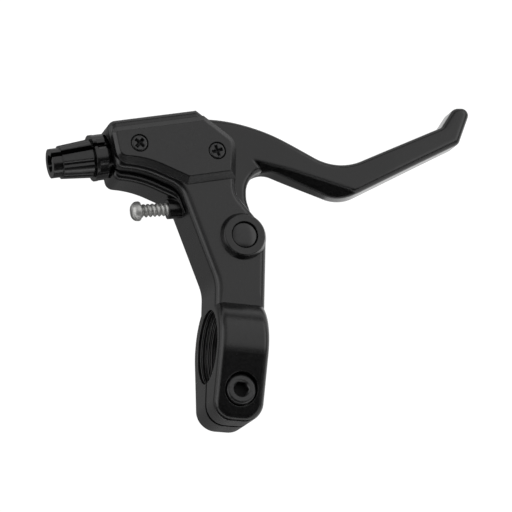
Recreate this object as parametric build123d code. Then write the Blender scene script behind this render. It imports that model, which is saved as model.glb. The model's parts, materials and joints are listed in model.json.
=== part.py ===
from build123d import *
import os
from math import acos, atan2, cos, degrees, hypot, radians, sin, sqrt, tan

os.makedirs("parts", exist_ok=True)

# Millimetres and degrees. The bar lies along X with its centre at the origin,
# +Y points away from the rider and +Z points up out of the bracket's front.

# Handlebar clamp
bar_diameter = 22.2
clamp_width = 15.3
clamp_wall = 3.7
clamp_slit = 1.5
clamp_edge = 2.4
clamp_rear_edge = 1.2
ear_drop = 23.2
ear_lean = 16.0
ear_rear_lean = 11.0
ear_corner = 5.8

# Clamp bolt, a socket cap screw
bolt_drop = 14.2
bolt_diameter = 5.0
bolt_head_diameter = 9.0
bolt_head_height = 5.0
bolt_head_stand = 0.1
bolt_head_edge = 0.9
bolt_counterbore_gap = 0.45
bolt_hole_clearance = 0.15
bolt_hex = 4.0
bolt_hex_depth = 2.8
bolt_hex_lead = 0.6
bolt_end_recess = 1.3

# Bracket body
bracket_thickness = 18.0
bracket_edge = 2.4
bracket_rear_edge = 1.3
pivot_height = 32.5
arm_left_at_pivot = 13.75
arm_lean = 23.0
arm_waist_radius = 12.0
arm_foot_height = 16.0
arm_foot_depth = 0.15
shoulder_angle = 44.0
shoulder_radius = 6.0
mouth_x = -2.2
mouth_slope = 33.0
mouth_radius = 4.5

# Cable housing, in axes turned about the pivot
housing_tilt = 14.0
cable_offset = 32.15
roof_rise = 8.65
housing_height = 16.7
housing_reach = 33.6
housing_corner = 2.5
floor_corner = 2.6
roof_end = 5.5
floor_length = 7.3
floor_slope = 13.0
belly_slope = 33.0
belly_radius = 28.0
belly_arm_radius = 6.0
belly_straight = 1.0
front_setback = 2.0
ledge_edge = 1.6

# Pocket for the lever and slot for the cable
pocket_depth = 10.2
pocket_end_wall = 10.1
pocket_roof_wall = 1.8
pocket_side_wall = 3.0
pocket_corner = 3.0
pocket_hub_clearance = 1.0
cable_slot_floor = 3.6
cable_slot_width = 1.8
cable_slot_inset = 5.0
cable_slot_end = 7.0

# Pivot
boss_rise = 2.0
boss_diameter = 14.3
boss_top_diameter = 12.4
boss_edge = 0.4
boss_rear_rise = 1.2
pin_diameter = 6.0
pin_slip = 0.05
pin_head_diameter = 7.6
pin_head_sink = 1.0
pin_head_rim = 2.5
pin_head_dome = 0.55
pin_head_gap = 0.3
pin_end_recess = 0.3
pin_thread_depth = 9.0
thread_slip = 0.05
pivot_screw_diameter = 4.0
pivot_screw_length = 8.0
pivot_screw_head = 9.0
pivot_screw_head_height = 2.2
pivot_screw_edge = 0.8
pivot_screw_hex = 2.5
pivot_screw_hex_depth = 1.4

# Bushes and return spring in the lever's hub
bush_wall = 1.0
bush_flange = 0.6
bush_flange_overlap = 0.25
bush_side_gap = 0.1
bush_press_gap = 0.01
bush_seat = 1.7
bush_end_gap = 0.2
spring_wire = 0.9
spring_half_turns = 5
spring_pitch = 1.0
spring_room = 0.55
spring_seat = 0.05
spring_bend = 1.0
spring_leg_angle = 272.0
spring_leg_gap = 0.25
spring_leg_bite = 1.8
spring_leg_room = 0.1
spring_window_spread = 12.0

# Lever
hub_wall = 0.95
lever_travel = 24.0
blade_thickness = 10.8
tip_thickness = 9.2
blade_swell_start = 3.0
blade_swell_end = 15.0
blade_taper_start = 48.0
blade_swell_radius = 60.0
lever_edge = 1.9
lever_stop_top = 18.5
lever_stop_radius = 4.0
nipple_diameter = 7.4
nipple_lead = 5.5
nipple_wall = 2.3
nipple_floor = 2.7
nipple_slot = 2.0
head_drop = 6.6
head_rise = 4.9
head_lower_radius = 2.5
head_upper_radius = 3.0

# Corners of the blade about the pivot, each with the radius that rounds it
head_crown = (-11.5, 37.3, 6.0)
hump = (2.2, 38.05, 50.0)
dip_upper = (31.0, 25.35, 17.5)
kick_upper = (65.0, 43.5, 2.5)
tip_upper = (69.1, 50.3, 3.0)
tip_lower = (75.1, 51.1, 2.2)
kick_lower = (70.8, 38.75, 2.5)
reach_lower = (57.0, 30.6, 35.0)
dip_lower = (33.9, 16.75, 12.0)
crook = (1.8, 25.8, 7.5)
neck = (2.5, 13.0, 8.0)

# Bevel along the lower edges of the blade, about the pivot
bevel_start = (2.9, 26.5)
bevel_length = 38.0
bevel_slope = 12.0
bevel_angle = 63.0
bevel_width = 4.0
bevel_end_angle = 31.0

# Cover
cover_thickness = 2.2
cover_bevel = 2.0
cover_crease = 0.5
cover_inset = 1.2
cover_end_inset = 0.2
cover_end_bevel = 1.0
cover_mouth_inset = 0.7
cover_roof_inset = 2.5
cover_drop = 6.1
cover_corner = 2.6
cover_end_radius = 4.2

# Cover screws, placed from the housing's end, from the pivot and from the cable line
end_screw_inset = 7.5
end_screw_drop = 0.2
end_screw_turn = 40.0
mouth_screw_lead = 2.9
mouth_screw_drop = 5.6
mouth_screw_turn = 8.0
cover_screw_diameter = 3.0
cover_screw_length = 3.8
cover_screw_head = 5.0
cover_screw_head_height = 1.5
cover_screw_edge = 0.6
cover_screw_seat = 1.4
cover_screw_gap = 0.2
cross_reach = 3.4
cross_width = 1.1
cross_depth = 1.1

# Barrel adjuster and lock ring, along the cable line
adjuster_thread = 10.0
adjuster_end_inset = 1.0
grip_length = 9.3
grip_large_diameter = 11.6
grip_small_diameter = 9.9
tube_length = 3.0
tube_diameter = 8.8
cable_housing_diameter = 5.0
cable_housing_slip = 0.1
cable_housing_depth = 10.5
cable_bore = 2.4
adjuster_slit = 1.5
adjuster_slit_angle = 20.0
grip_flutes = 8
grip_flute_radius = 1.3
grip_flute_depth = 0.45
ring_gap = 1.2
ring_length = 3.7
ring_play = 0.4
ring_diameter = 13.9
ring_flange = 1.0
ring_notches = 6
ring_notch_radius = 4.7
ring_notch_depth = 0.6
ring_recess = 13.0
ring_recess_depth = 2.0

# Reach screw, in axes turned about the pivot
reach_tilt = 10.0
reach_offset = 12.2
reach_diameter = 4.0
reach_slip = 0.04
reach_gap = 0.5
reach_point = 0.6
reach_length = 20.35
reach_head_diameter = 5.9
reach_head_length = 2.8
reach_head_edge = 1.9
reach_head_back = 0.5
reach_slot_width = 1.0
reach_slot_depth = 1.3
reach_boss_diameter = 6.0
reach_boss_rise = 5.7
reach_boss_root = 0.7

far = 200.0
half_width = clamp_width / 2
half_thickness = bracket_thickness / 2
half_pocket = pocket_depth / 2
half_arm = half_pocket - bush_flange - bush_side_gap
half_blade = blade_thickness / 2
bar_radius = bar_diameter / 2
clamp_radius = bar_radius + clamp_wall
bolt_head_top = (clamp_radius / cos(radians(ear_lean)) - bolt_drop * tan(radians(ear_lean))
                 + bolt_head_stand)
bolt_seat = bolt_head_top - bolt_head_height
bolt_end = (bolt_drop * tan(radians(ear_rear_lean)) - clamp_radius / cos(radians(ear_rear_lean))
            + bolt_end_recess)
roof = cable_offset + roof_rise
floor = roof - housing_height
belly_reach = housing_reach - floor_length
boss_rear = half_thickness + boss_rear_rise
pin_head_seat = half_thickness - pin_head_sink
bush_bore = pin_diameter / 2 + pin_slip
bush_radius = bush_bore + bush_wall
spring_radius = bush_radius + spring_room + spring_wire / 2
spring_pocket_radius = spring_radius + spring_wire / 2 + spring_room
spring_pocket_depth = spring_half_turns * spring_pitch / 2 + spring_wire + 2 * spring_seat
spring_start = spring_seat + spring_wire / 2 - half_arm
hub_radius = spring_pocket_radius + hub_wall
lower_bush_length = spring_pocket_depth + bush_seat
upper_bush_length = 2 * half_arm - lower_bush_length - bush_end_gap
cover_top = half_thickness + cover_thickness
cover_screw_floor = cover_top - cover_screw_seat
cover_screws = (
    (end_screw_inset - housing_reach, cable_offset - end_screw_drop, end_screw_turn),
    (-mouth_screw_lead, cable_offset - mouth_screw_drop, mouth_screw_turn),
)
adjuster_end = housing_reach - pocket_end_wall + adjuster_end_inset
ring_start = housing_reach + ring_gap
ring_end = ring_start + ring_length
grip_start = ring_end + ring_play
grip_end = grip_start + grip_length
tube_end = grip_end + tube_length
reach_tip = hub_radius + reach_gap
reach_boss_face = arm_left_at_pivot + reach_boss_rise
pivot = (0, pivot_height)
housing = Location((0, pivot_height, 0), (0, 0, housing_tilt))
cable_line = housing * Pos(0, cable_offset, 0)
reach = Location((0, pivot_height, 0), (0, 0, reach_tilt))
reach_line = reach * Pos(0, reach_offset, 0)
upright = (Align.CENTER, Align.CENTER, Align.MIN)


def at(frame, u, v):
    """X and Y of a point given in turned axes."""
    place = (frame * Pos(u, v, 0)).position
    return (place.X, place.Y)


def along(start, angle, length=1):
    """The point reached from another at an angle."""
    return (start[0] + length * cos(radians(angle)), start[1] + length * sin(radians(angle)))


def meet(a, b, c, d):
    """Where the line through a and b crosses the line through c and d."""
    run = (b[0] - a[0], b[1] - a[1])
    other = (d[0] - c[0], d[1] - c[1])
    cross = run[0] * other[1] - run[1] * other[0]
    share = ((c[0] - a[0]) * other[1] - (c[1] - a[1]) * other[0]) / cross
    return (a[0] + share * run[0], a[1] + share * run[1])


def plate(corners, low, high):
    """A prism from low to high whose outline has corners (x, y, radius)."""
    points = [(x, y) for x, y, radius in corners]
    radii = [radius for x, y, radius in corners]
    outline = make_face(FilletPolyline(*points, radius=radii, close=True))
    return Pos(0, 0, low) * extrude(outline, high - low)


def post(x, y, radius, low, high):
    """A round post along Z."""
    return Pos(x, y, (low + high) / 2) * Cylinder(radius, high - low)


def rod(radius, start, end):
    """A round rod along X."""
    return Pos((start + end) / 2, 0, 0) * Rot(0, 90, 0) * Cylinder(radius, end - start)


def hex_socket(across_flats, low, high):
    """A six-sided recess along Z."""
    outline = RegularPolygon(across_flats / 2, 6, major_radius=False)
    return Pos(0, 0, low) * extrude(outline, high - low)


def falling_line(u, v, slope, inset):
    """Two points on a line that falls towards the arm in the housing's axes, moved in by an inset."""
    turn = radians(slope)
    start = (u + inset * sin(turn), v + inset * cos(turn))
    return at(housing, *start), at(housing, start[0] + cos(turn), start[1] - sin(turn))


def floor_line(inset):
    """Two points on the housing's lower edge beside its end, moved in by an inset."""
    return falling_line(-housing_reach, floor, floor_slope, inset)


def belly_line(inset):
    """Two points on the steeper lower edge beside the arm, moved in by an inset."""
    drop = floor_length * tan(radians(floor_slope))
    return falling_line(-belly_reach, floor - drop, belly_slope, inset)


def belly_fillet(setback):
    """Radius between the housing's lower edges, as far as the edge beside the arm leaves room for it."""
    start = meet(*floor_line(setback), *belly_line(setback))
    end = meet(*belly_line(setback), *arm_line(0))
    arm_turn = radians(90 + housing_tilt - belly_slope - arm_lean)
    room = hypot(end[0] - start[0], end[1] - start[1]) - belly_straight - belly_arm_radius * tan(arm_turn / 2)
    return min(belly_radius, room / tan(radians(belly_slope - floor_slope) / 2))


def level_line(v):
    """Two points on a line along the housing's axis."""
    return at(housing, 0, v), at(housing, 1, v)


def end_line(u):
    """Two points on a line across the housing's axis."""
    return at(housing, u, 0), at(housing, u, 1)


def arm_line(inset):
    """Two points on the arm's left edge, moved in by an inset."""
    start = (inset / cos(radians(arm_lean)) - arm_left_at_pivot, pivot_height)
    return start, along(start, arm_lean - 90)


def upright_line(x):
    """Two points on a line along Y."""
    return (x, 0), (x, 1)


def mouth_line(inset):
    """Two points on the sloping edge at the housing's open end."""
    top = at(housing, -roof_end, roof)
    start = along(top, -mouth_slope - 90, inset)
    return start, along(start, -mouth_slope)


def bracket_corners(setback):
    """Outline of the arm and housing, with the lower left edge set back."""
    shoulder = along(pivot, shoulder_angle, half_width)
    shoulder_line = (shoulder, along(shoulder, shoulder_angle + 90))
    right, left = upright_line(half_width), upright_line(-half_width)
    mouth = upright_line(mouth_x)
    return [
        (half_width, 0, 0),
        (*meet(*right, *shoulder_line), half_width),
        (*meet(*shoulder_line, *mouth), shoulder_radius),
        (*meet(*mouth, *mouth_line(0)), mouth_radius),
        (*at(housing, -roof_end, roof), 0),
        (*at(housing, -housing_reach, roof), housing_corner),
        (*meet(*end_line(-housing_reach), *floor_line(setback)), floor_corner),
        (*meet(*floor_line(setback), *belly_line(setback)), belly_fillet(setback)),
        (*meet(*belly_line(setback), *arm_line(0)), belly_arm_radius),
        (*meet(*arm_line(0), *left), arm_waist_radius),
        (-half_width, 0, 0),
    ]


def ear_side(lean):
    """Where one side of the ears leaves the ring and where it ends, as Y and Z."""
    turn = radians(lean)
    side = 1 if lean > 0 else -1
    shoulder = (-clamp_radius * abs(sin(turn)), side * clamp_radius * cos(turn))
    return shoulder, (-ear_drop, shoulder[1] - (ear_drop + shoulder[0]) * tan(turn))


def clamp_half(clamp, side, radius):
    """The clamp's front or rear half, with its outer edges rounded."""
    half = clamp & Pos(0, 0, side * far / 2) * Box(far, far, far)
    ends = half.edges().group_by(Axis.Y)[0].sort_by(Axis.Z)
    return fillet(ends[-1] if side > 0 else ends[0], radius)


def make_clamp():
    """The split ring with its two ears, as one block with the bar's hole."""
    front_shoulder, front_end = ear_side(ear_lean)
    rear_shoulder, rear_end = ear_side(-ear_rear_lean)
    ears = Polygon(front_shoulder, front_end, rear_end, rear_shoulder, align=None)
    side = Plane.YZ * (Circle(clamp_radius) + ears)
    clamp = extrude(side, half_width, both=True)
    front = plate([(half_width, clamp_radius, 0), (-half_width, clamp_radius, 0),
                   (-half_width, -ear_drop, ear_corner), (half_width, -ear_drop, ear_corner)],
                  -clamp_radius, clamp_radius)
    clamp = clamp & front
    return clamp_half(clamp, 1, clamp_edge) + clamp_half(clamp, -1, clamp_rear_edge)


def rim(solid, end):
    """Edges round the lowest or highest face, apart from those in the clamp."""
    return [edge for edge in solid.faces().sort_by(Axis.Z)[end].edges() if edge.center().Y > clamp_edge]


def make_arm():
    """Arm, housing and pivot walls before they are hollowed."""
    lower = plate(bracket_corners(0), -half_thickness, cable_slot_floor)
    lower = fillet(rim(lower, 0), bracket_rear_edge)
    lower = fillet(rim(lower, -1), ledge_edge)
    upper = plate(bracket_corners(front_setback), cable_slot_floor - ledge_edge, half_thickness)
    upper = fillet(rim(upper, -1), bracket_edge)
    arm = lower + upper
    foot = Polygon((arm_foot_height, half_thickness), (0, half_thickness + arm_foot_depth),
                   (0, half_thickness - 4 * arm_foot_depth), align=None)
    foot_cut = extrude(Plane.YZ * foot, far, both=True)
    return arm - foot_cut - mirror(foot_cut, Plane.XY)


def lever_pocket():
    """Space between the walls where the lever swings."""
    side = pocket_side_wall
    end = pocket_end_wall - housing_reach
    hub = hub_radius + pocket_hub_clearance
    ceiling = roof - pocket_roof_wall
    space = plate([
        (hub, pivot_height, 0),
        (half_width + hub, pivot_height + hub, 0),
        (*at(housing, half_width + hub, ceiling), 0),
        (*at(housing, end, ceiling), pocket_corner),
        (*meet(*end_line(end), *belly_line(side)), pocket_corner),
        (*meet(*belly_line(side), *arm_line(side)), pocket_corner),
        (-hub, pivot_height, 0),
    ], -half_pocket, half_pocket)
    return space + post(*pivot, hub, -half_pocket, half_pocket)


def cable_slot():
    """Slot along the lower left edge, through which the cable slips in."""
    inset = front_setback + cable_slot_inset
    inner = arm_line(cable_slot_inset)
    stop = at(Pos(*pivot, 0), 0, cable_slot_end)
    stop_line = (stop, along(stop, 0))
    outer = arm_line(-2 * cable_slot_inset)
    return plate([
        (*meet(*end_line(-far), *floor_line(inset)), 0),
        (*meet(*floor_line(inset), *belly_line(inset)), belly_radius),
        (*meet(*belly_line(inset), *inner), 0),
        (*meet(*inner, *stop_line), 0),
        (*meet(*outer, *stop_line), 0),
        (*at(housing, -far, floor - housing_height), 0),
    ], cable_slot_floor, cable_slot_floor + cable_slot_width)


def make_bracket():
    """The whole casting."""
    bracket = make_arm() + make_clamp()
    boss = Cone(boss_diameter / 2, boss_top_diameter / 2, boss_rise, align=upright)
    boss = fillet(boss.edges().sort_by(Axis.Z)[-1], boss_edge)
    bracket += Pos(*pivot, half_thickness) * boss
    bracket += post(*pivot, boss_diameter / 2, half_thickness - bracket_edge, half_thickness)
    bracket += post(*pivot, boss_diameter / 2, -boss_rear, bracket_rear_edge - half_thickness)
    bracket -= lever_pocket()
    screw_boss = rod(reach_boss_diameter / 2, -reach_boss_face, reach_boss_root - arm_left_at_pivot)
    bracket += reach_line * screw_boss
    bracket -= cable_slot()
    # Bar hole, slit and bolt hole
    bracket -= rod(bar_radius, -far, far)
    bracket -= Pos(0, -ear_drop, 0) * Box(far, 2 * ear_drop, clamp_slit)
    bracket -= post(0, -bolt_drop, bolt_diameter / 2 + thread_slip, -far, 0)
    bracket -= post(0, -bolt_drop, bolt_diameter / 2 + bolt_hole_clearance, 0, far)
    bracket -= post(0, -bolt_drop, bolt_head_diameter / 2 + bolt_counterbore_gap, bolt_seat, far)
    # Pivot hole and the seat of the pin's head
    bracket -= post(*pivot, pin_diameter / 2 + pin_slip, -far, far)
    bracket -= post(*pivot, pin_head_diameter / 2 + pin_head_gap, pin_head_seat, far)
    # Threaded holes of the adjuster and reach screw
    bracket -= cable_line * rod(adjuster_thread / 2 + thread_slip, -far, -belly_reach / 2)
    bracket -= cable_line * rod(ring_recess / 2, -far, ring_recess_depth - housing_reach)
    bracket -= reach_line * rod(reach_diameter / 2 + reach_slip, -far, 0)
    # Holes for the cover's screws
    for u, v, turn in cover_screws:
        bracket -= housing * post(u, v, cover_screw_diameter / 2 + thread_slip,
                                  cover_screw_floor - cover_screw_length - thread_slip, far)
    return bracket


def cover_corners(end_inset):
    """Outline of the cover, with its left end set in from the housing's end."""
    inset = front_setback + cover_inset
    left, top = end_line(end_inset - housing_reach), level_line(roof - cover_roof_inset)
    bottom, lower = floor_line(inset), level_line(floor - cover_drop)
    right, slope = upright_line(mouth_x - cover_mouth_inset), mouth_line(cover_mouth_inset)
    return [
        (*meet(*left, *top), cover_corner),
        (*meet(*left, *bottom), cover_end_radius),
        (*meet(*bottom, *belly_line(inset)), belly_radius),
        (*meet(*belly_line(inset), *lower), 0),
        (*meet(*lower, *right), 0),
        (*meet(*right, *slope), mouth_radius),
        (*meet(*slope, *top), 0),
    ]


def make_cover():
    """Bevelled cap that closes the front of the cable housing and fits over its rounded edges."""
    skirt = half_thickness - bracket_edge
    cap = plate(cover_corners(cover_end_inset + cover_end_bevel - cover_bevel), skirt, cover_top)
    cap = chamfer(cap.faces().sort_by(Axis.Z)[-1].edges(), cover_bevel)
    cap = fillet(cap.faces().sort_by(Axis.Z)[-1].edges(), cover_crease)
    cap = cap & plate(cover_corners(cover_end_inset), skirt, cover_top)
    cap -= make_arm()
    for u, v, turn in cover_screws:
        cap -= housing * post(u, v, cover_screw_diameter / 2 + thread_slip, 0, far)
        cap -= housing * post(u, v, cover_screw_head / 2 + cover_screw_gap, cover_screw_floor, far)
    return cap


def make_cover_screws():
    """The two cross-headed screws that hold the cover."""
    top = cover_screw_floor + cover_screw_head_height
    screw = post(0, 0, cover_screw_head / 2, cover_screw_floor, top)
    screw = fillet(screw.faces().sort_by(Axis.Z)[-1].edges(), cover_screw_edge)
    screw += post(0, 0, cover_screw_diameter / 2, cover_screw_floor - cover_screw_length, cover_screw_floor)
    groove = Polygon((-cross_width / 2, top), (cross_width / 2, top), (0, top - cross_depth), align=None)
    slot = extrude(Plane.YZ * groove, cross_reach / 2, both=True)
    screw -= slot + Rot(0, 0, 90) * slot
    return Compound([housing * Pos(u, v, 0) * Rot(0, 0, turn) * screw for u, v, turn in cover_screws])


def tangent_point(point, radius):
    """Right-hand point where a line from a point touches a circle about the pivot."""
    turn = degrees(atan2(point[1], point[0]) - acos(radius / hypot(*point)))
    return along((0, 0), turn, radius)


def blade_side():
    """Thickness of the lever from its arm to the tip, seen from below."""
    fall = (half_blade - tip_thickness / 2) / (tip_lower[0] - blade_taper_start)
    upper = [
        (-far, half_arm, 0),
        (blade_swell_start, half_arm, blade_swell_radius),
        (blade_swell_end, half_blade, blade_swell_radius),
        (blade_taper_start, half_blade, blade_swell_radius),
        (2 * tip_lower[0], half_blade - fall * (2 * tip_lower[0] - blade_taper_start), 0),
    ]
    lower = [(x, -z, radius) for x, z, radius in reversed(upper)]
    points = [(x, z) for x, z, radius in upper + lower]
    radii = [radius for x, z, radius in upper + lower]
    outline = make_face(FilletPolyline(*points, radius=radii, close=True))
    return extrude(Plane.XZ * outline, far, both=True)


def blade_bevel():
    """Wedge for the bevel along the lower front edge of the blade, with a slanting end at the neck."""
    start = at(Pos(*pivot, 0), *bevel_start)
    down = along((0, 0), -bevel_slope - 90)
    run = along((0, 0), -bevel_slope)
    section = Plane(origin=(*start, half_blade), x_dir=(*down, 0), z_dir=(*run, 0))
    depth = bevel_width * tan(radians(bevel_angle))
    triangle = Polygon((0, 0), (bevel_width, 0), (bevel_width, depth), align=None)
    corner = along(start, -bevel_slope - 90, bevel_width)
    slant = along(corner, -bevel_slope, bevel_width / tan(radians(bevel_end_angle)))
    neck_end = extrude(Polygon(start, corner, slant, align=None), far, both=True)
    return extrude(section * triangle, bevel_length) - neck_end


def spring_coil():
    """Centre line of the spring's coil about the pivot, as half turns that each rise half a pitch."""
    rise = spring_pitch / 4
    half_turn = ThreePointArc((spring_radius, 0, -rise), (0, hypot(spring_radius, rise), 0),
                              (-spring_radius, 0, rise))
    return [Pos(0, 0, spring_start + (2 * index + 1) * rise)
            * Rot(0, 0, spring_leg_angle + 180 * index) * half_turn
            for index in range(spring_half_turns)]


def spring_leg(half_turn, end, length):
    """Bend and straight leg at one end of the coil, as points from the coil outwards."""
    start, run = half_turn @ end, half_turn % end
    out = Vector(start.X, start.Y, 0).normalized()
    turn = run * spring_bend * (1 if end else -1)
    centre = start + out * spring_bend
    middle = centre + (turn - out * spring_bend) * sqrt(0.5)
    corner = centre + turn
    return start, middle, corner, corner + out * (length - spring_radius - spring_bend)


def wall_leg_length():
    """Radius at which the leg on the bracket's side ends."""
    return hub_radius + pocket_hub_clearance - spring_leg_gap


def hub_cuts():
    """Bush bore, spring pocket, leg hole and leg window of the hub, about the pivot."""
    cuts = post(0, 0, bush_radius + bush_press_gap, -far, far)
    cuts += post(0, 0, spring_pocket_radius, -far, spring_pocket_depth - half_arm)
    coil = spring_coil()
    start, middle, corner, tip = spring_leg(coil[-1], 1, hub_radius + spring_leg_bite)
    run = tip - corner
    depth = spring_bend + run.length + spring_leg_room
    hole = Cylinder(spring_wire / 2 + spring_leg_room, depth, align=upright)
    cuts += Plane(corner - run.normalized() * spring_bend, z_dir=run) * hole
    start, middle, corner, tip = spring_leg(coil[0], 0, wall_leg_length())
    leg_angle = degrees(atan2(corner.Y, corner.X))
    first = along((0, 0), leg_angle - spring_window_spread, 2 * hub_radius)
    last = along((0, 0), leg_angle + spring_window_spread + lever_travel, 2 * hub_radius)
    window = Polygon((0, 0), first, last, align=None)
    return cuts + Pos(0, 0, -half_arm) * extrude(window, spring_wire + 2 * spring_leg_room)


def nipple_cuts():
    """Seat for the cable's nipple and the slot that leads the cable to it."""
    rise = sqrt(cable_offset ** 2 - nipple_lead ** 2)
    cuts = post(-nipple_lead, rise, nipple_diameter / 2, -nipple_floor, far)
    slot = Box(far, nipple_slot, far, align=(Align.MAX, Align.CENTER, Align.MIN))
    return housing * (cuts + Pos(-nipple_lead, rise, -nipple_slot / 2) * slot)


def make_lever():
    """Blade, neck and hub, with the seat for the cable's nipple."""
    head_left = nipple_lead + nipple_diameter / 2 + nipple_wall
    blade = [head_crown, hump, dip_upper, kick_upper, tip_upper, tip_lower, kick_lower,
             reach_lower, dip_lower, crook, neck]
    corners = [
        (*at(reach, -hub_radius, 0), 0),
        (*at(reach, -hub_radius, lever_stop_top), lever_stop_radius),
        (*at(housing, -head_left, cable_offset - head_drop), head_lower_radius),
        (*at(housing, -head_left, cable_offset + head_rise), head_upper_radius),
        *[(x, pivot_height + y, radius) for x, y, radius in blade],
        (*at(Pos(*pivot, 0), *tangent_point(neck[:2], hub_radius)), 0),
    ]
    lever = plate(corners, -far, far) + post(*pivot, hub_radius, -far, far)
    lever = lever & blade_side()
    rims = [edge for edge in lever.edges()
            if abs(edge.center().Z) > tip_thickness / 4 and abs(edge.tangent_at(0.5).Y) < 0.999]
    lever = fillet(rims, lever_edge)
    lever -= blade_bevel()
    lever += post(*pivot, hub_radius, -half_arm, half_arm)
    facing = post(*pivot, hub_radius + pocket_hub_clearance, half_arm, far)
    lever = lever - facing - mirror(facing, Plane.XY)
    lever -= nipple_cuts()
    return lever - Pos(*pivot, 0) * hub_cuts()


def make_bush(length):
    """Flanged bush with its sleeve standing on the flange."""
    sleeve = post(0, 0, bush_radius, 0, length)
    flange = post(0, 0, spring_pocket_radius + bush_flange_overlap, -bush_flange, 0)
    return sleeve + flange - post(0, 0, bush_bore, -far, far)


def make_upper_bush():
    """Bush in the hub's front face."""
    return Pos(*pivot, half_arm) * Rot(180, 0, 0) * make_bush(upper_bush_length)


def make_lower_bush():
    """Bush in the hub's rear face, long enough to guide the spring."""
    return Pos(*pivot, -half_arm) * make_bush(lower_bush_length)


def make_return_spring():
    """Torsion spring with one leg against the bracket and one in the lever."""
    coil = spring_coil()
    start, middle, corner, tip = spring_leg(coil[0], 0, wall_leg_length())
    end, end_middle, end_corner, end_tip = spring_leg(coil[-1], 1, hub_radius + spring_leg_bite)
    path = Wire([Line(tip, corner), ThreePointArc(corner, middle, start), *coil,
                 ThreePointArc(end, end_middle, end_corner), Line(end_corner, end_tip)])
    section = Plane(tip, z_dir=corner - tip) * Circle(spring_wire / 2)
    return Pos(*pivot, 0) * sweep(section, path=path)


def make_pivot_pin():
    """Pivot pin with a domed head and a threaded hole in its rear end."""
    head_radius = pin_head_diameter / 2
    head_top = pin_head_seat + pin_head_rim
    ball = (head_radius ** 2 + pin_head_dome ** 2) / (2 * pin_head_dome)
    dome = Pos(0, 0, head_top + pin_head_dome - ball) * Sphere(ball)
    head = post(0, 0, head_radius, pin_head_seat, far) & dome
    end = pin_end_recess - boss_rear
    pin = head + post(0, 0, pin_diameter / 2, end, pin_head_seat)
    pin -= post(0, 0, pivot_screw_diameter / 2 + thread_slip, end, end + pin_thread_depth)
    return Pos(*pivot, 0) * pin


def make_pivot_screw():
    """Button-headed screw that draws the pivot pin tight from behind."""
    screw = post(0, 0, pivot_screw_head / 2, -pivot_screw_head_height, 0)
    screw = fillet(screw.faces().sort_by(Axis.Z)[0].edges(), pivot_screw_edge)
    screw += post(0, 0, pivot_screw_diameter / 2, 0, pivot_screw_length)
    screw -= hex_socket(pivot_screw_hex, -pivot_screw_head_height,
                        pivot_screw_hex_depth - pivot_screw_head_height)
    return Pos(*pivot, -boss_rear) * screw


def slit_cut():
    """Slot from the cable line outwards, through which the cable slips in."""
    return Rot(-adjuster_slit_angle, 0, 0) * Box(far, adjuster_slit, far, align=upright)


def make_barrel_adjuster():
    """Slit and fluted barrel that the cable's housing seats in."""
    large, small = grip_large_diameter / 2, grip_small_diameter / 2
    barrel = rod(adjuster_thread / 2, -grip_start, -adjuster_end)
    barrel += Pos(-grip_end, 0, 0) * Rot(0, 90, 0) * Cone(small, large, grip_length, align=upright)
    taper = degrees(atan2(large - small, grip_length))
    flute = rod(grip_flute_radius, 0, hypot(grip_length, large - small))
    flute = Pos(-grip_end, 0, small + grip_flute_radius - grip_flute_depth) * Rot(0, -taper, 0) * flute
    for index in range(grip_flutes):
        barrel -= Rot(index * 360 / grip_flutes - adjuster_slit_angle, 0, 0) * flute
    barrel += rod(tube_diameter / 2, -tube_end, -grip_end)
    seat = cable_housing_diameter / 2 + cable_housing_slip
    barrel -= rod(seat, -tube_end, cable_housing_depth - tube_end)
    barrel -= rod(cable_bore / 2, -far, 0)
    return cable_line * (barrel - slit_cut())


def make_lock_ring():
    """Slit and notched ring that locks the adjuster."""
    ring = rod(ring_diameter / 2, -ring_end, -ring_start)
    notch = rod(ring_notch_radius, ring_flange - ring_end, 0)
    notch = Pos(0, 0, ring_diameter / 2 + ring_notch_radius - ring_notch_depth) * notch
    for index in range(ring_notches):
        ring -= Rot(index * 360 / ring_notches - adjuster_slit_angle, 0, 0) * notch
    ring -= rod(adjuster_thread / 2 + thread_slip, -far, 0)
    return cable_line * (ring - slit_cut())


def make_reach_screw():
    """Slotted screw whose point sets where the lever rests."""
    neck = reach_tip + reach_length
    head = rod(reach_head_diameter / 2, -neck - reach_head_length, -neck)
    head = fillet(head.faces().sort_by(Axis.X)[0].edges(), reach_head_edge)
    head = fillet(head.faces().sort_by(Axis.X)[-1].edges(), reach_head_back)
    head -= Pos(-neck - reach_head_length, 0, 0) * Box(2 * reach_slot_depth, far, reach_slot_width)
    shank = rod(reach_diameter / 2, -neck, -reach_tip)
    shank = chamfer(shank.faces().sort_by(Axis.X)[-1].edges(), reach_point)
    return reach_line * (head + shank)


def make_clamp_bolt():
    """Socket cap screw that draws the clamp's ears together."""
    head = post(0, 0, bolt_head_diameter / 2, bolt_seat, bolt_head_top)
    head = fillet(head.faces().sort_by(Axis.Z)[-1].edges(), bolt_head_edge)
    head -= hex_socket(bolt_hex, bolt_head_top - bolt_hex_depth, bolt_head_top)
    lead = Cone(bolt_hex / 2, bolt_hex / 2 + bolt_hex_lead, bolt_hex_lead, align=upright)
    head -= Pos(0, 0, bolt_head_top - bolt_hex_lead) * lead
    shank = post(0, 0, bolt_diameter / 2, bolt_end, bolt_seat)
    return Pos(0, -bolt_drop, 0) * (head + shank)


NODES = {
    "bracket": make_bracket,
    "cover": make_cover,
    "cover_screws": make_cover_screws,
    "lever": make_lever,
    "upper_bush": make_upper_bush,
    "lower_bush": make_lower_bush,
    "return_spring": make_return_spring,
    "pivot_pin": make_pivot_pin,
    "pivot_screw": make_pivot_screw,
    "barrel_adjuster": make_barrel_adjuster,
    "lock_ring": make_lock_ring,
    "reach_screw": make_reach_screw,
    "clamp_bolt": make_clamp_bolt,
}

for name, make in NODES.items():
    export_step(make(), f"parts/{name}.step")
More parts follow.
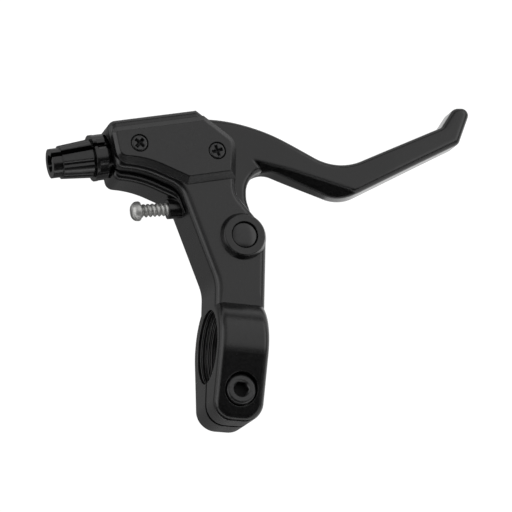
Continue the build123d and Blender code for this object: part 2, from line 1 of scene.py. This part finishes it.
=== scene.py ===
import json
from math import ceil, pi, radians, sin, sqrt, tau

import bmesh
import bpy
from mathutils import Matrix, Vector


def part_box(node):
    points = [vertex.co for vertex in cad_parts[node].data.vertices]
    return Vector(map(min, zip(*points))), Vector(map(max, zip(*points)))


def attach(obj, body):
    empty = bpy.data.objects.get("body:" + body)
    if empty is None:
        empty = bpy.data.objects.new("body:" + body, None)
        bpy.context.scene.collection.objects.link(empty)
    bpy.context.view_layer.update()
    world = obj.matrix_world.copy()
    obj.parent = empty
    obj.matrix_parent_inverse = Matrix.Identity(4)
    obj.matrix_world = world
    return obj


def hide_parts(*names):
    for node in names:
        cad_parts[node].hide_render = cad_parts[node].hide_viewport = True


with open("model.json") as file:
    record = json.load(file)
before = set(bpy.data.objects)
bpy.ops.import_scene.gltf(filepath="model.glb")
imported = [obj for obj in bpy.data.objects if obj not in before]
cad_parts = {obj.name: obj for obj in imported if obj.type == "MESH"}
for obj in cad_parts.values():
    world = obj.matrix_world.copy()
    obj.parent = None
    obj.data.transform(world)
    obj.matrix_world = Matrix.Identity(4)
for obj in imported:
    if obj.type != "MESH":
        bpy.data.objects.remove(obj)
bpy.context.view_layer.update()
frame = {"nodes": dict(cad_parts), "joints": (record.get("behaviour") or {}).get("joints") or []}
scene = bpy.context.scene
MM = 0.001

# Camera, fitted to the photograph: leans from straight above, roll, and the point at the picture's centre
camera_lean = (15.8, 15.6)
camera_roll = 5.8
camera_distance = 700 * MM
camera_target = Vector((3.576, 26.310, 10.849)) * MM
camera_sensor = 36.0
camera_lens = 166.36
camera_clip = (0.01, 50.0)

# Floor and surroundings; the horizon and ceiling meet between two heights of the sky's unit direction
floor_height = -60 * MM
floor_width = 20.0
floor_glow = 0.93
floor_paint = 0.2
horizon_glow = 1.0
horizon_top = 0.13
ceiling_glow = 0.03
ceiling_start = 0.36

# Dim cards on the floor, which only reflections see: low corner, high corner and radiance
flag_lift = 2 * MM
flags = {
    "left_flag": ((-0.13, -0.06), (0.036, 0.13), 0.22),
    "front_flag": ((-0.6, -1.5), (0.12, -0.075), 0.015),
    "back_flag": ((-0.4, 0.14), (0.4, 0.8), 0.55),
}

# Softboxes side by side overhead: left and right edge and radiance
top_height = 0.6
top_front = -0.08
top_back = 1.2
top_softboxes = {
    "top_left_softbox": (-0.75, -0.1, 0.6),
    "top_softbox": (-0.1, 0.4, 1.0),
    "top_right_softbox": (0.4, 1.05, 1.7),
}

# Other softboxes: centre, point that they face, width and height, and radiance
side_softboxes = {
    "left_softbox": ((-0.66, 0.03, 0.27), (0, 0.03, 0), (0.9, 0.4), 1.4),
    "right_softbox": ((0.7, -0.5, 0.42), (0, 0.03, 0.01), (0.5, 0.35), 1.2),
    "front_strip": ((0, -0.8, 0.1), (0, 0, 0.01), (1.6, 0.14), 1.2),
}

# Black coats: shade, roughness and depth of the orange-peel skin
casting_coat = (0.004, 0.25, 0.017 * MM)
blade_coat = (0.002, 0.19, 0.008 * MM)
barrel_coat = (0.004, 0.20, 0.006 * MM)
screw_coat = (0.012, 0.24, 0.006 * MM)
bolt_coat = (0.012, 0.30, 0.006 * MM)
pin_coat = (0.006, 0.20, 0.003 * MM)

# Patterns of the black coats, and how far their edges are rounded
speckle_size = 0.6 * MM
speckle_levels = (0.25, 0.75)
speckle_tint = (2.0, 2.0, 2.1)
sheen_size = 1.3 * MM
sheen_spread = (-0.04, 0.05)
peel_size = 0.55 * MM
peel_detail = 2.0
edge_round = 0.35 * MM
blade_edge_round = 1.4 * MM
edge_samples = 8

# Turning marks in the clamp's bore: grooves in the bump, and painted glints that lighten their colour
bar_radius = 11.1 * MM
bore_line_spacing = 0.35 * MM
bore_line_detail = 1.0
bore_line_levels = (0.54, 0.62)
bore_line_depth = 0.03 * MM
# Colour of the painted glints along the marks
bore_painted_glint_shade = 0.1

# Clamp bolt: depth under its head's top where the socket turns dull and takes painted shade, and the socket's
# reach from the axis
socket_start = 1.5 * MM
socket_reach = 2.6 * MM
socket_painted_shade = 0.004
socket_roughness = 0.9

# Bare finishes: two colours and their pattern's size, two roughnesses and their pattern's size
zinc_look = ((0.44, 0.44, 0.43), (0.58, 0.58, 0.56), 0.8 * MM, (0.34, 0.48), 0.4 * MM)
nylon_look = ((0.62, 0.60, 0.54), (0.7, 0.68, 0.62), 3 * MM, (0.45, 0.6), 0.6 * MM)
spring_look = ((0.3, 0.3, 0.31), (0.42, 0.42, 0.42), 0.5 * MM, (0.25, 0.4), 0.3 * MM)
zinc_metal = 0.75
zinc_pit_size = 0.2 * MM
zinc_pit_depth = 0.006 * MM
nylon_glow = 0.1
nylon_glow_depth = 1 * MM

# Reach screw: its head and point are kept, and a thread is wound between them
screw_head_length = 2.8 * MM
screw_point_length = 1.3 * MM
screw_stub = 0.05 * MM
thread_crest = 2.0 * MM
thread_root = 1.45 * MM
thread_pitch = 1.36 * MM
thread_land = 0.12
thread_steps = 32
thread_lead = 1.5
thread_spare_turns = 2
merge_reach = 0.001 * MM


def set_inputs(node, **values):
    """Set a node's sockets by name, with underscores for spaces."""
    for name, value in values.items():
        node.inputs[name.replace("_", " ")].default_value = value
    return node


class Finish:
    """A material under construction, with its pattern coordinates in metres."""

    def __init__(self, name):
        self.material = bpy.data.materials.new(name)
        self.material.use_nodes = True
        self.tree = self.material.node_tree
        self.surface = self.tree.nodes["Principled BSDF"]
        self.place = self.add("ShaderNodeTexCoord").outputs["Object"]

    def add(self, kind, **values):
        """A new node with its plain sockets set."""
        return set_inputs(self.tree.nodes.new(kind), **values)

    def feed(self, socket, value):
        """Give a socket an output or a constant."""
        if isinstance(value, bpy.types.NodeSocket):
            self.tree.links.new(value, socket)
        else:
            socket.default_value = value

    def put(self, name, output):
        """Feed one of the surface's sockets."""
        self.feed(self.surface.inputs[name], output)

    def source(self, name):
        """What feeds one of the surface's sockets."""
        return self.surface.inputs[name].links[0].from_socket

    def parts(self):
        """The place's three coordinates."""
        node = self.add("ShaderNodeSeparateXYZ")
        self.feed(node.inputs["Vector"], self.place)
        return [node.outputs[axis] for axis in "XYZ"]

    def math(self, operation, *values):
        """Arithmetic on outputs or numbers."""
        node = self.add("ShaderNodeMath")
        node.operation = operation
        for socket, value in zip(node.inputs, values):
            self.feed(socket, value)
        return node.outputs["Value"]

    def length(self, first, second):
        """Length across two legs at right angles."""
        squares = [self.math("MULTIPLY", leg, leg) for leg in (first, second)]
        return self.math("SQRT", self.math("ADD", *squares))

    def noise(self, size, detail=3.0):
        """Cloudy pattern whose features are about this size."""
        texture = self.add("ShaderNodeTexNoise", Scale=1 / size, Detail=detail)
        self.feed(texture.inputs["Vector"], self.place)
        return texture.outputs["Fac"]

    def spread(self, value, low, high):
        """Map a 0 to 1 pattern onto a range."""
        node = self.add("ShaderNodeMapRange", To_Min=low, To_Max=high)
        self.feed(node.inputs["Value"], value)
        return node.outputs["Result"]

    def clear(self, value, low, high):
        """0 below the low level, 1 above the high one, even between."""
        node = self.add("ShaderNodeMapRange", From_Min=low, From_Max=high)
        self.feed(node.inputs["Value"], value)
        return node.outputs["Result"]

    def blend(self, kind, share, first, second):
        """Mix two colours or two numbers, each an output or a constant, by a pattern."""
        node = self.add("ShaderNodeMix")
        node.data_type = kind
        for name, value in (("Factor", share), ("A", first), ("B", second)):
            self.feed(node.inputs[name], value)
        return node.outputs["Result"]

    def rounded_edges(self, radius):
        """Normals that round the sharp edges over a small radius."""
        node = self.add("ShaderNodeBevel", Radius=radius)
        node.samples = edge_samples
        return node.outputs["Normal"]

    def relief(self, height, depth):
        """Bump of this depth from a 0 to 1 pattern."""
        node = self.add("ShaderNodeBump", Strength=1.0, Distance=depth)
        self.feed(node.inputs["Height"], height)
        return node


def grey(shade):
    """A neutral colour."""
    return (shade, shade, shade, 1)


def satin_black(name, coat, edge=edge_round):
    """Satin black coat on metal, with a fine speckle and an orange-peel skin."""
    shade, roughness, grain = coat
    finish = Finish(name)
    speckle = finish.clear(finish.noise(speckle_size), *speckle_levels)
    light = (*(shade * share for share in speckle_tint), 1)
    finish.put("Base Color", finish.blend("RGBA", speckle, grey(0), light))
    sheen = (roughness + change for change in sheen_spread)
    finish.put("Roughness", finish.spread(finish.noise(sheen_size), *sheen))
    peel = finish.relief(finish.noise(peel_size, peel_detail), grain)
    finish.feed(peel.inputs["Normal"], finish.rounded_edges(edge))
    finish.put("Normal", peel.outputs["Normal"])
    return finish


def bore_marks_and_glints(finish):
    """Turning marks in the clamp's bore and nothing elsewhere, irregularly spaced along the bar's axis, which
    carry both their grooves and painted glints.
    """
    x, y, z = finish.parts()
    marks = finish.add("ShaderNodeTexNoise", Scale=1 / bore_line_spacing, Detail=bore_line_detail)
    marks.noise_dimensions = "1D"
    finish.feed(marks.inputs["W"], x)
    marks_and_glints = finish.clear(marks.outputs["Fac"], *bore_line_levels)
    inside = finish.math("LESS_THAN", finish.length(y, z), bar_radius + bore_line_depth)
    return finish.math("MULTIPLY", marks_and_glints, inside)


def casting_black():
    """Coat of the bracket and cover, with turning marks grooved in the clamp's bore and painted glints
    lightening them.
    """
    finish = satin_black("casting_black", casting_coat)
    marks_and_glints = bore_marks_and_glints(finish)
    # Painted glints: the turning marks are coloured lighter, as if lit.
    finish.put("Base Color", finish.blend("RGBA", marks_and_glints, finish.source("Base Color"), grey(bore_painted_glint_shade)))
    grooves = finish.relief(marks_and_glints, bore_line_depth)
    finish.feed(grooves.inputs["Normal"], finish.source("Normal"))
    finish.put("Normal", grooves.outputs["Normal"])
    return finish.material


def bolt_black():
    """Blackened steel of the clamp's bolt, dull down in its socket, where painted shade darkens the colour.
    """
    finish = satin_black("bolt_black", bolt_coat)
    low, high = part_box("clamp_bolt")
    middle = (low + high) / 2
    x, y, z = finish.parts()
    from_axis = finish.length(finish.math("SUBTRACT", x, middle.x), finish.math("SUBTRACT", y, middle.y))
    near = finish.math("LESS_THAN", from_axis, socket_reach)
    deep = finish.math("LESS_THAN", z, high.z - socket_start)
    socket = finish.math("MULTIPLY", near, deep)
    # Painted shade: the socket's colour is darkened as if in shadow.
    finish.put("Base Color", finish.blend("RGBA", socket, finish.source("Base Color"), grey(socket_painted_shade)))
    finish.put("Roughness", finish.blend("FLOAT", socket, finish.source("Roughness"), socket_roughness))
    return finish.material


def mottled(name, first, second, colour_size, roughness, roughness_size):
    """Bare finish whose colour and roughness wander between two values."""
    finish = Finish(name)
    colour = finish.blend("RGBA", finish.noise(colour_size), (*first, 1), (*second, 1))
    finish.put("Base Color", colour)
    finish.put("Roughness", finish.spread(finish.noise(roughness_size), *roughness))
    return finish


def zinc():
    """Bright zinc plating of the reach screw, with fine pits."""
    finish = mottled("zinc", *zinc_look)
    set_inputs(finish.surface, Metallic=zinc_metal)
    pits = finish.relief(finish.noise(zinc_pit_size), zinc_pit_depth)
    finish.put("Normal", pits.outputs["Normal"])
    return finish.material


def nylon():
    """Natural nylon of the bushes."""
    finish = mottled("nylon", *nylon_look)
    set_inputs(finish.surface, Subsurface_Weight=nylon_glow, Subsurface_Scale=nylon_glow_depth)
    return finish.material


def spring_wire():
    """Drawn steel of the return spring."""
    finish = mottled("spring_wire", *spring_look)
    set_inputs(finish.surface, Metallic=1.0)
    return finish.material


def dress(material, *names):
    """Give CAD nodes a finish."""
    for name in names:
        mesh = frame["nodes"][name].data
        mesh.materials.clear()
        mesh.materials.append(material)


def dress_nodes(plating):
    """Give every CAD node its finish."""
    dress(casting_black(), "bracket", "cover")
    dress(satin_black("blade_black", blade_coat, blade_edge_round).material, "lever")
    dress(satin_black("screw_black", screw_coat).material, "cover_screws", "pivot_screw")
    dress(bolt_black(), "clamp_bolt")
    dress(satin_black("pin_black", pin_coat).material, "pivot_pin")
    dress(satin_black("barrel_black", barrel_coat).material, "barrel_adjuster", "lock_ring")
    dress(plating, "reach_screw")
    dress(nylon(), "upper_bush", "lower_bush")
    dress(spring_wire(), "return_spring")


def finished_mesh(name, mesh_data):
    """A mesh from a bmesh, which is freed."""
    mesh = bpy.data.meshes.new(name)
    mesh_data.to_mesh(mesh)
    mesh_data.free()
    return mesh


def add_object(name, data):
    """A new object in the scene."""
    thing = bpy.data.objects.new(name, data)
    scene.collection.objects.link(thing)
    return thing


def joint_line(name):
    """Point and direction of a joint's axis."""
    joint = next(joint for joint in frame["joints"] if joint["name"] == name)
    return Vector(joint["pos_m"]), Vector(joint["axis"]).normalized()


def cut(mesh_data, place, direction, clear_outer=False):
    """Cut a bmesh across at a place, and drop what lies beyond it if asked."""
    geom = [*mesh_data.verts, *mesh_data.edges, *mesh_data.faces]
    bmesh.ops.bisect_plane(mesh_data, geom=geom, plane_co=place, plane_no=direction, clear_outer=clear_outer)


def close_ends(mesh_data):
    """Fill the open ends that a cut left."""
    edges = [edge for edge in mesh_data.edges if edge.is_boundary]
    bmesh.ops.holes_fill(mesh_data, edges=edges, sides=0)


def screw_ends(node, point, axis):
    """A screw's closed head and point with its thread left out, and where that gap starts and ends."""
    mesh_data = bmesh.new()
    mesh_data.from_mesh(node.data)
    bmesh.ops.remove_doubles(mesh_data, verts=mesh_data.verts, dist=merge_reach)
    reach = [(vert.co - point).dot(axis) for vert in mesh_data.verts]
    start = min(reach) + screw_head_length + screw_stub
    end = max(reach) - screw_point_length
    for place in (start, end):
        cut(mesh_data, point + axis * place, axis)
    middle = [face for face in mesh_data.faces
              if start < (face.calc_center_median() - point).dot(axis) < end]
    bmesh.ops.delete(mesh_data, geom=middle, context="FACES")
    close_ends(mesh_data)
    return mesh_data, start, end


def wound_thread(point, axis, start, end):
    """One pitch of a thread's side, wound past both ends of a gap on a screw's axis and cut flush there."""
    mesh_data = bmesh.new()
    profile = ((0, thread_root), (0.5 - thread_land, thread_crest),
               (0.5 + thread_land, thread_crest), (1, thread_root))
    out = Vector((0, 0, 1))
    verts = [mesh_data.verts.new(point + axis * (start + (share - thread_lead) * thread_pitch) + out * radius)
             for share, radius in profile]
    edges = [mesh_data.edges.new(pair) for pair in zip(verts, verts[1:])]
    turns = ceil((end - start) / thread_pitch) + thread_spare_turns
    bmesh.ops.spin(mesh_data, geom=verts + edges, cent=point, axis=axis,
                   dvec=axis * (thread_pitch / thread_steps), angle=tau * turns, steps=turns * thread_steps)
    bmesh.ops.remove_doubles(mesh_data, verts=mesh_data.verts, dist=merge_reach)
    for place, outward in ((start, -axis), (end, axis)):
        cut(mesh_data, point + axis * place, outward, clear_outer=True)
    close_ends(mesh_data)
    return mesh_data


def add_threaded_screw(plating):
    """The reach screw's head and point with a thread between them."""
    point, axis = joint_line("reach_screw_turn")
    mesh_data, start, end = screw_ends(frame["nodes"]["reach_screw"], point, axis)
    thread = finished_mesh("thread", wound_thread(point, axis, start, end))
    mesh_data.from_mesh(thread)
    bpy.data.meshes.remove(thread)
    bmesh.ops.recalc_face_normals(mesh_data, faces=mesh_data.faces)
    piece = add_object("reach_screw_thread", finished_mesh("reach_screw_thread", mesh_data))
    piece.data.materials.append(plating)
    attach(piece, "reach_screw")
    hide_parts("reach_screw")


def stage_card(name, size, centre, material):
    """Level rectangle of the stage."""
    mesh_data = bmesh.new()
    bmesh.ops.create_grid(mesh_data, x_segments=1, y_segments=1, size=0.5)
    bmesh.ops.scale(mesh_data, verts=mesh_data.verts, vec=(*size, 1))
    bmesh.ops.translate(mesh_data, verts=mesh_data.verts, vec=centre)
    card = add_object(name, finished_mesh(name, mesh_data))
    card.data.materials.append(material)
    return card


def glowing_paint(name, paint, glow):
    """Dull paint that glows white by itself."""
    material = bpy.data.materials.new(name)
    material.use_nodes = True
    set_inputs(material.node_tree.nodes["Principled BSDF"], Base_Color=grey(paint), Roughness=1.0,
               Specular_IOR_Level=0.0, Emission_Color=grey(1), Emission_Strength=glow)
    return material


def add_flag(name, low, high, radiance):
    """Dim card on the floor that only reflections see."""
    size = [far - near for near, far in zip(low, high)]
    centre = [(far + near) / 2 for near, far in zip(low, high)]
    flag = stage_card(name, size, (*centre, floor_height + flag_lift), glowing_paint(name, 0, radiance))
    flag.visible_camera = flag.visible_diffuse = flag.visible_shadow = False


def seen_rays(tree):
    """1 for rays from the camera, a mirror or a lens, else 0."""
    path = tree.nodes.new("ShaderNodeLightPath")
    total = path.outputs["Is Camera Ray"]
    for name in ("Is Glossy Ray", "Is Transmission Ray"):
        node = tree.nodes.new("ShaderNodeMath")
        node.operation = "MAXIMUM"
        tree.links.new(total, node.inputs[0])
        tree.links.new(path.outputs[name], node.inputs[1])
        total = node.outputs["Value"]
    return total


def add_floor():
    """White floor that still takes a faint shadow."""
    material = glowing_paint("floor_white", floor_paint, floor_glow)
    tree = material.node_tree
    glow = tree.nodes.new("ShaderNodeMath")
    glow.operation = "MULTIPLY"
    glow.inputs[1].default_value = floor_glow
    tree.links.new(seen_rays(tree), glow.inputs[0])
    tree.links.new(glow.outputs["Value"], tree.nodes["Principled BSDF"].inputs["Emission Strength"])
    stage_card("floor", (floor_width, floor_width), (0, 0, floor_height), material)


def add_world():
    """White horizon under a dark ceiling."""
    world = bpy.data.worlds.new("studio")
    world.use_nodes = True
    scene.world = world
    tree = world.node_tree
    direction = tree.nodes.new("ShaderNodeTexCoord")
    parts = tree.nodes.new("ShaderNodeSeparateXYZ")
    tree.links.new(direction.outputs["Generated"], parts.inputs["Vector"])
    fall = set_inputs(tree.nodes.new("ShaderNodeMapRange"), From_Min=horizon_top, From_Max=ceiling_start,
                      To_Min=horizon_glow, To_Max=ceiling_glow)
    tree.links.new(parts.outputs["Z"], fall.inputs["Value"])
    background = set_inputs(tree.nodes["Background"], Color=grey(1))
    tree.links.new(fall.outputs["Result"], background.inputs["Strength"])


def add_softbox(name, centre, target, size, radiance):
    """Rectangular light of a given brightness, facing a point."""
    width, height = size
    light = bpy.data.lights.new(name, "AREA")
    light.shape = "RECTANGLE"
    light.size, light.size_y = size
    light.energy = radiance * pi * width * height
    lamp = add_object(name, light)
    aim = (Vector(target) - Vector(centre)).to_track_quat("-Z", "Y")
    lamp.matrix_world = Matrix.LocRotScale(Vector(centre), aim, None)
    lamp.visible_camera = False


def add_top_softbox(name, left, right, radiance):
    """Level softbox overhead, one of a row."""
    x, y = (left + right) / 2, (top_front + top_back) / 2
    add_softbox(name, (x, y, top_height), (x, y, 0), (right - left, top_back - top_front), radiance)


def add_camera():
    """Camera at the photograph's angle."""
    lean_x, lean_y = (sin(radians(angle)) for angle in camera_lean)
    back = Vector((-lean_x, -lean_y, sqrt(1 - lean_x ** 2 - lean_y ** 2)))
    right = (Vector((1, 0, 0)) - back * back.x).normalized()
    axes = Matrix((right, back.cross(right), back)).transposed()
    turn = (Matrix.Rotation(radians(camera_roll), 3, back) @ axes).to_quaternion()
    data = bpy.data.cameras.new("camera")
    data.sensor_width = camera_sensor
    data.lens = camera_lens
    data.clip_start, data.clip_end = camera_clip
    camera = add_object("camera", data)
    camera.matrix_world = Matrix.LocRotScale(camera_target + back * camera_distance, turn, None)
    scene.camera = camera


def add_studio():
    """Floor, cards, sky, softboxes and camera."""
    add_floor()
    for name, flag in flags.items():
        add_flag(name, *flag)
    add_world()
    for name, softbox in top_softboxes.items():
        add_top_softbox(name, *softbox)
    for name, softbox in side_softboxes.items():
        add_softbox(name, *softbox)
    add_camera()
    scene.view_settings.view_transform = "Standard"


zinc_plating = zinc()
dress_nodes(zinc_plating)
add_threaded_screw(zinc_plating)
add_studio()
